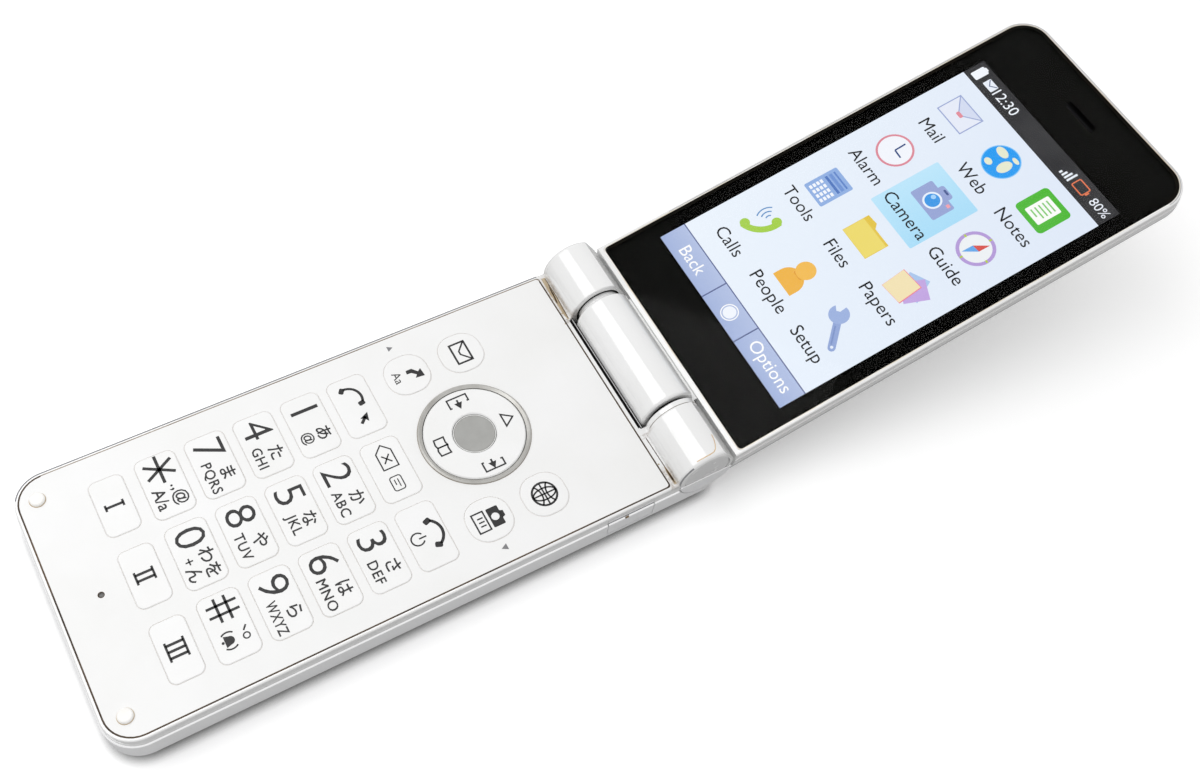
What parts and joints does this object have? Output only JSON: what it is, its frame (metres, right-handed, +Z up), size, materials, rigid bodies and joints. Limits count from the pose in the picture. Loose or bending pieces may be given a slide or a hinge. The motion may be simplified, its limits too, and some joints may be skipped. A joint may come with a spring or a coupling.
{
  "type": "folding mobile phone",
  "caption": "White folding phone lying open: keypad half with dial and navigation keys, raised display half on a three-barrel hinge, side port with a hinged cover.",
  "frame": {"origin": "in the flat underside of the keypad half, midway between its bottom end and the hinge axis", "axes": "+X to the user's right, +Y from the bottom end towards the hinge, +Z up out of the keypad"},
  "size_m": [0.051, 0.2128, 0.0333],
  "materials": {
    "case_silver": "silver-white lacquer, satin gloss",
    "case_white": "pearl white lacquer, glossy",
    "panel_white": "white, fine satin",
    "key_white": "white, satin, dark printed signs",
    "trim_chrome": "bright plated, slightly worn",
    "key_grey": "mid grey, satin",
    "pad_rubber": "milky, smooth",
    "cap_grey": "pale grey, glossy",
    "display_cover": "clear polished, black printed border",
    "display_panel": "lit picture, pale blue-white",
    "dark_window": "black, polished",
    "circuit_board": "green laminate",
    "battery_can": "grey sleeve",
    "steel": "plain steel",
    "black_plastic": "black moulding",
    "flex_film": "amber film",
    "mat_rubber": "translucent silicone",
    "mic_can": "plated can",
    "grille_mesh": "dark fine mesh"
  },
  "bodies": {
    "keypad_half": {"rear_case": "case_silver", "battery_cover": "case_silver", "front_case": "case_white", "keypad_panel": "panel_white", "nav_trim_ring": "trim_chrome", "bumper_pads": "pad_rubber", "hinge_caps": "cap_grey", "camera_window": "dark_window", "main_board": "circuit_board", "battery": "battery_can", "case_screws": "steel", "hinge_shaft": "steel", "pivot_bush": "steel", "usb_socket": "steel", "card_socket": "steel", "dome_sheet": "steel", "vibration_motor": "steel", "loudspeaker": "black_plastic", "antenna_carrier": "black_plastic", "camera_module": "black_plastic", "key_mat": "mat_rubber", "microphone": "mic_can"},
    "lid": {"lid_frame": "case_white", "lid_back": "case_white", "display_glass": "display_cover", "lcd_module": "display_panel", "lid_board": "circuit_board", "earpiece": "black_plastic", "earpiece_grille": "grille_mesh", "sub_display": "dark_window", "lid_magnet": "steel", "hinge_flex": "flex_film", "hinge_cartridge": "steel"},
    "port_cover": {"port_cover": "case_silver"},
    "nav_rocker": {"nav_rocker_plate": "steel"},
    "nav_ring": {"nav_ring_key": "key_white"},
    "center_key": {"center_key": "key_grey"},
    "key_1": {"key_1": "key_white"},
    "key_2": {"key_2": "key_white"},
    "key_3": {"key_3": "key_white"},
    "key_4": {"key_4": "key_white"},
    "key_5": {"key_5": "key_white"},
    "key_6": {"key_6": "key_white"},
    "key_7": {"key_7": "key_white"},
    "key_8": {"key_8": "key_white"},
    "key_9": {"key_9": "key_white"},
    "key_star": {"key_star": "key_white"},
    "key_0": {"key_0": "key_white"},
    "key_hash": {"key_hash": "key_white"},
    "key_call": {"key_call": "key_white"},
    "key_clear": {"key_clear": "key_white"},
    "key_end": {"key_end": "key_white"},
    "key_memory_1": {"key_memory_1": "key_white"},
    "key_memory_2": {"key_memory_2": "key_white"},
    "key_memory_3": {"key_memory_3": "key_white"},
    "key_mail": {"key_mail": "key_white"},
    "key_web": {"key_web": "key_white"},
    "key_contacts": {"key_contacts": "key_white"},
    "key_camera": {"key_camera": "key_white"}
  },
  "joints": [
    {"name": "lid_hinge", "type": "hinge", "parent": "keypad_half", "child": "lid", "pos_m": [0, 0.0537, 0.0091], "axis": [1, 0, 0], "range_deg": [0, 166.7]},
    {"name": "port_cover_hinge", "type": "hinge", "parent": "keypad_half", "child": "port_cover", "pos_m": [0.02505, 0.0384, 0.00325], "axis": [0, 1, 0], "range_deg": [0, 95]},
    {"name": "nav_tilt_x", "type": "hinge", "parent": "keypad_half", "child": "nav_rocker", "pos_m": [0, 0.0206, 0.007], "axis": [1, 0, 0], "range_deg": [-1.5, 1.5], "stiffness_Nm_per_rad": 0.2},
    {"name": "nav_tilt_y", "type": "hinge", "parent": "nav_rocker", "child": "nav_ring", "pos_m": [0, 0.0206, 0.007], "axis": [0, 1, 0], "range_deg": [-1.5, 1.5], "stiffness_Nm_per_rad": 0.2},
    {"name": "center_key_press", "type": "slide", "parent": "keypad_half", "child": "center_key", "axis": [0, 0, -1], "range_m": [0, 0.00025], "stiffness_N_per_m": 600},
    {"name": "key_1_press", "type": "slide", "parent": "keypad_half", "child": "key_1", "axis": [0, 0, -1], "range_m": [0, 0.0003], "stiffness_N_per_m": 600},
    {"name": "key_2_press", "type": "slide", "parent": "keypad_half", "child": "key_2", "axis": [0, 0, -1], "range_m": [0, 0.0003], "stiffness_N_per_m": 600},
    {"name": "key_3_press", "type": "slide", "parent": "keypad_half", "child": "key_3", "axis": [0, 0, -1], "range_m": [0, 0.0003], "stiffness_N_per_m": 600},
    {"name": "key_4_press", "type": "slide", "parent": "keypad_half", "child": "key_4", "axis": [0, 0, -1], "range_m": [0, 0.0003], "stiffness_N_per_m": 600},
    {"name": "key_5_press", "type": "slide", "parent": "keypad_half", "child": "key_5", "axis": [0, 0, -1], "range_m": [0, 0.0003], "stiffness_N_per_m": 600},
    {"name": "key_6_press", "type": "slide", "parent": "keypad_half", "child": "key_6", "axis": [0, 0, -1], "range_m": [0, 0.0003], "stiffness_N_per_m": 600},
    {"name": "key_7_press", "type": "slide", "parent": "keypad_half", "child": "key_7", "axis": [0, 0, -1], "range_m": [0, 0.0003], "stiffness_N_per_m": 600},
    {"name": "key_8_press", "type": "slide", "parent": "keypad_half", "child": "key_8", "axis": [0, 0, -1], "range_m": [0, 0.0003], "stiffness_N_per_m": 600},
    {"name": "key_9_press", "type": "slide", "parent": "keypad_half", "child": "key_9", "axis": [0, 0, -1], "range_m": [0, 0.0003], "stiffness_N_per_m": 600},
    {"name": "key_star_press", "type": "slide", "parent": "keypad_half", "child": "key_star", "axis": [0, 0, -1], "range_m": [0, 0.0003], "stiffness_N_per_m": 600},
    {"name": "key_0_press", "type": "slide", "parent": "keypad_half", "child": "key_0", "axis": [0, 0, -1], "range_m": [0, 0.0003], "stiffness_N_per_m": 600},
    {"name": "key_hash_press", "type": "slide", "parent": "keypad_half", "child": "key_hash", "axis": [0, 0, -1], "range_m": [0, 0.0003], "stiffness_N_per_m": 600},
    {"name": "key_call_press", "type": "slide", "parent": "keypad_half", "child": "key_call", "axis": [0, 0, -1], "range_m": [0, 0.0003], "stiffness_N_per_m": 600},
    {"name": "key_clear_press", "type": "slide", "parent": "keypad_half", "child": "key_clear", "axis": [0, 0, -1], "range_m": [0, 0.0003], "stiffness_N_per_m": 600},
    {"name": "key_end_press", "type": "slide", "parent": "keypad_half", "child": "key_end", "axis": [0, 0, -1], "range_m": [0, 0.0003], "stiffness_N_per_m": 600},
    {"name": "key_memory_1_press", "type": "slide", "parent": "keypad_half", "child": "key_memory_1", "axis": [0, 0, -1], "range_m": [0, 0.0003], "stiffness_N_per_m": 600},
    {"name": "key_memory_2_press", "type": "slide", "parent": "keypad_half", "child": "key_memory_2", "axis": [0, 0, -1], "range_m": [0, 0.0003], "stiffness_N_per_m": 600},
    {"name": "key_memory_3_press", "type": "slide", "parent": "keypad_half", "child": "key_memory_3", "axis": [0, 0, -1], "range_m": [0, 0.0003], "stiffness_N_per_m": 600},
    {"name": "key_mail_press", "type": "slide", "parent": "keypad_half", "child": "key_mail", "axis": [0, 0, -1], "range_m": [0, 0.0003], "stiffness_N_per_m": 600},
    {"name": "key_web_press", "type": "slide", "parent": "keypad_half", "child": "key_web", "axis": [0, 0, -1], "range_m": [0, 0.0003], "stiffness_N_per_m": 600},
    {"name": "key_contacts_press", "type": "slide", "parent": "keypad_half", "child": "key_contacts", "axis": [0, 0, -1], "range_m": [0, 0.0003], "stiffness_N_per_m": 600},
    {"name": "key_camera_press", "type": "slide", "parent": "keypad_half", "child": "key_camera", "axis": [0, 0, -1], "range_m": [0, 0.0003], "stiffness_N_per_m": 600}
  ]
}
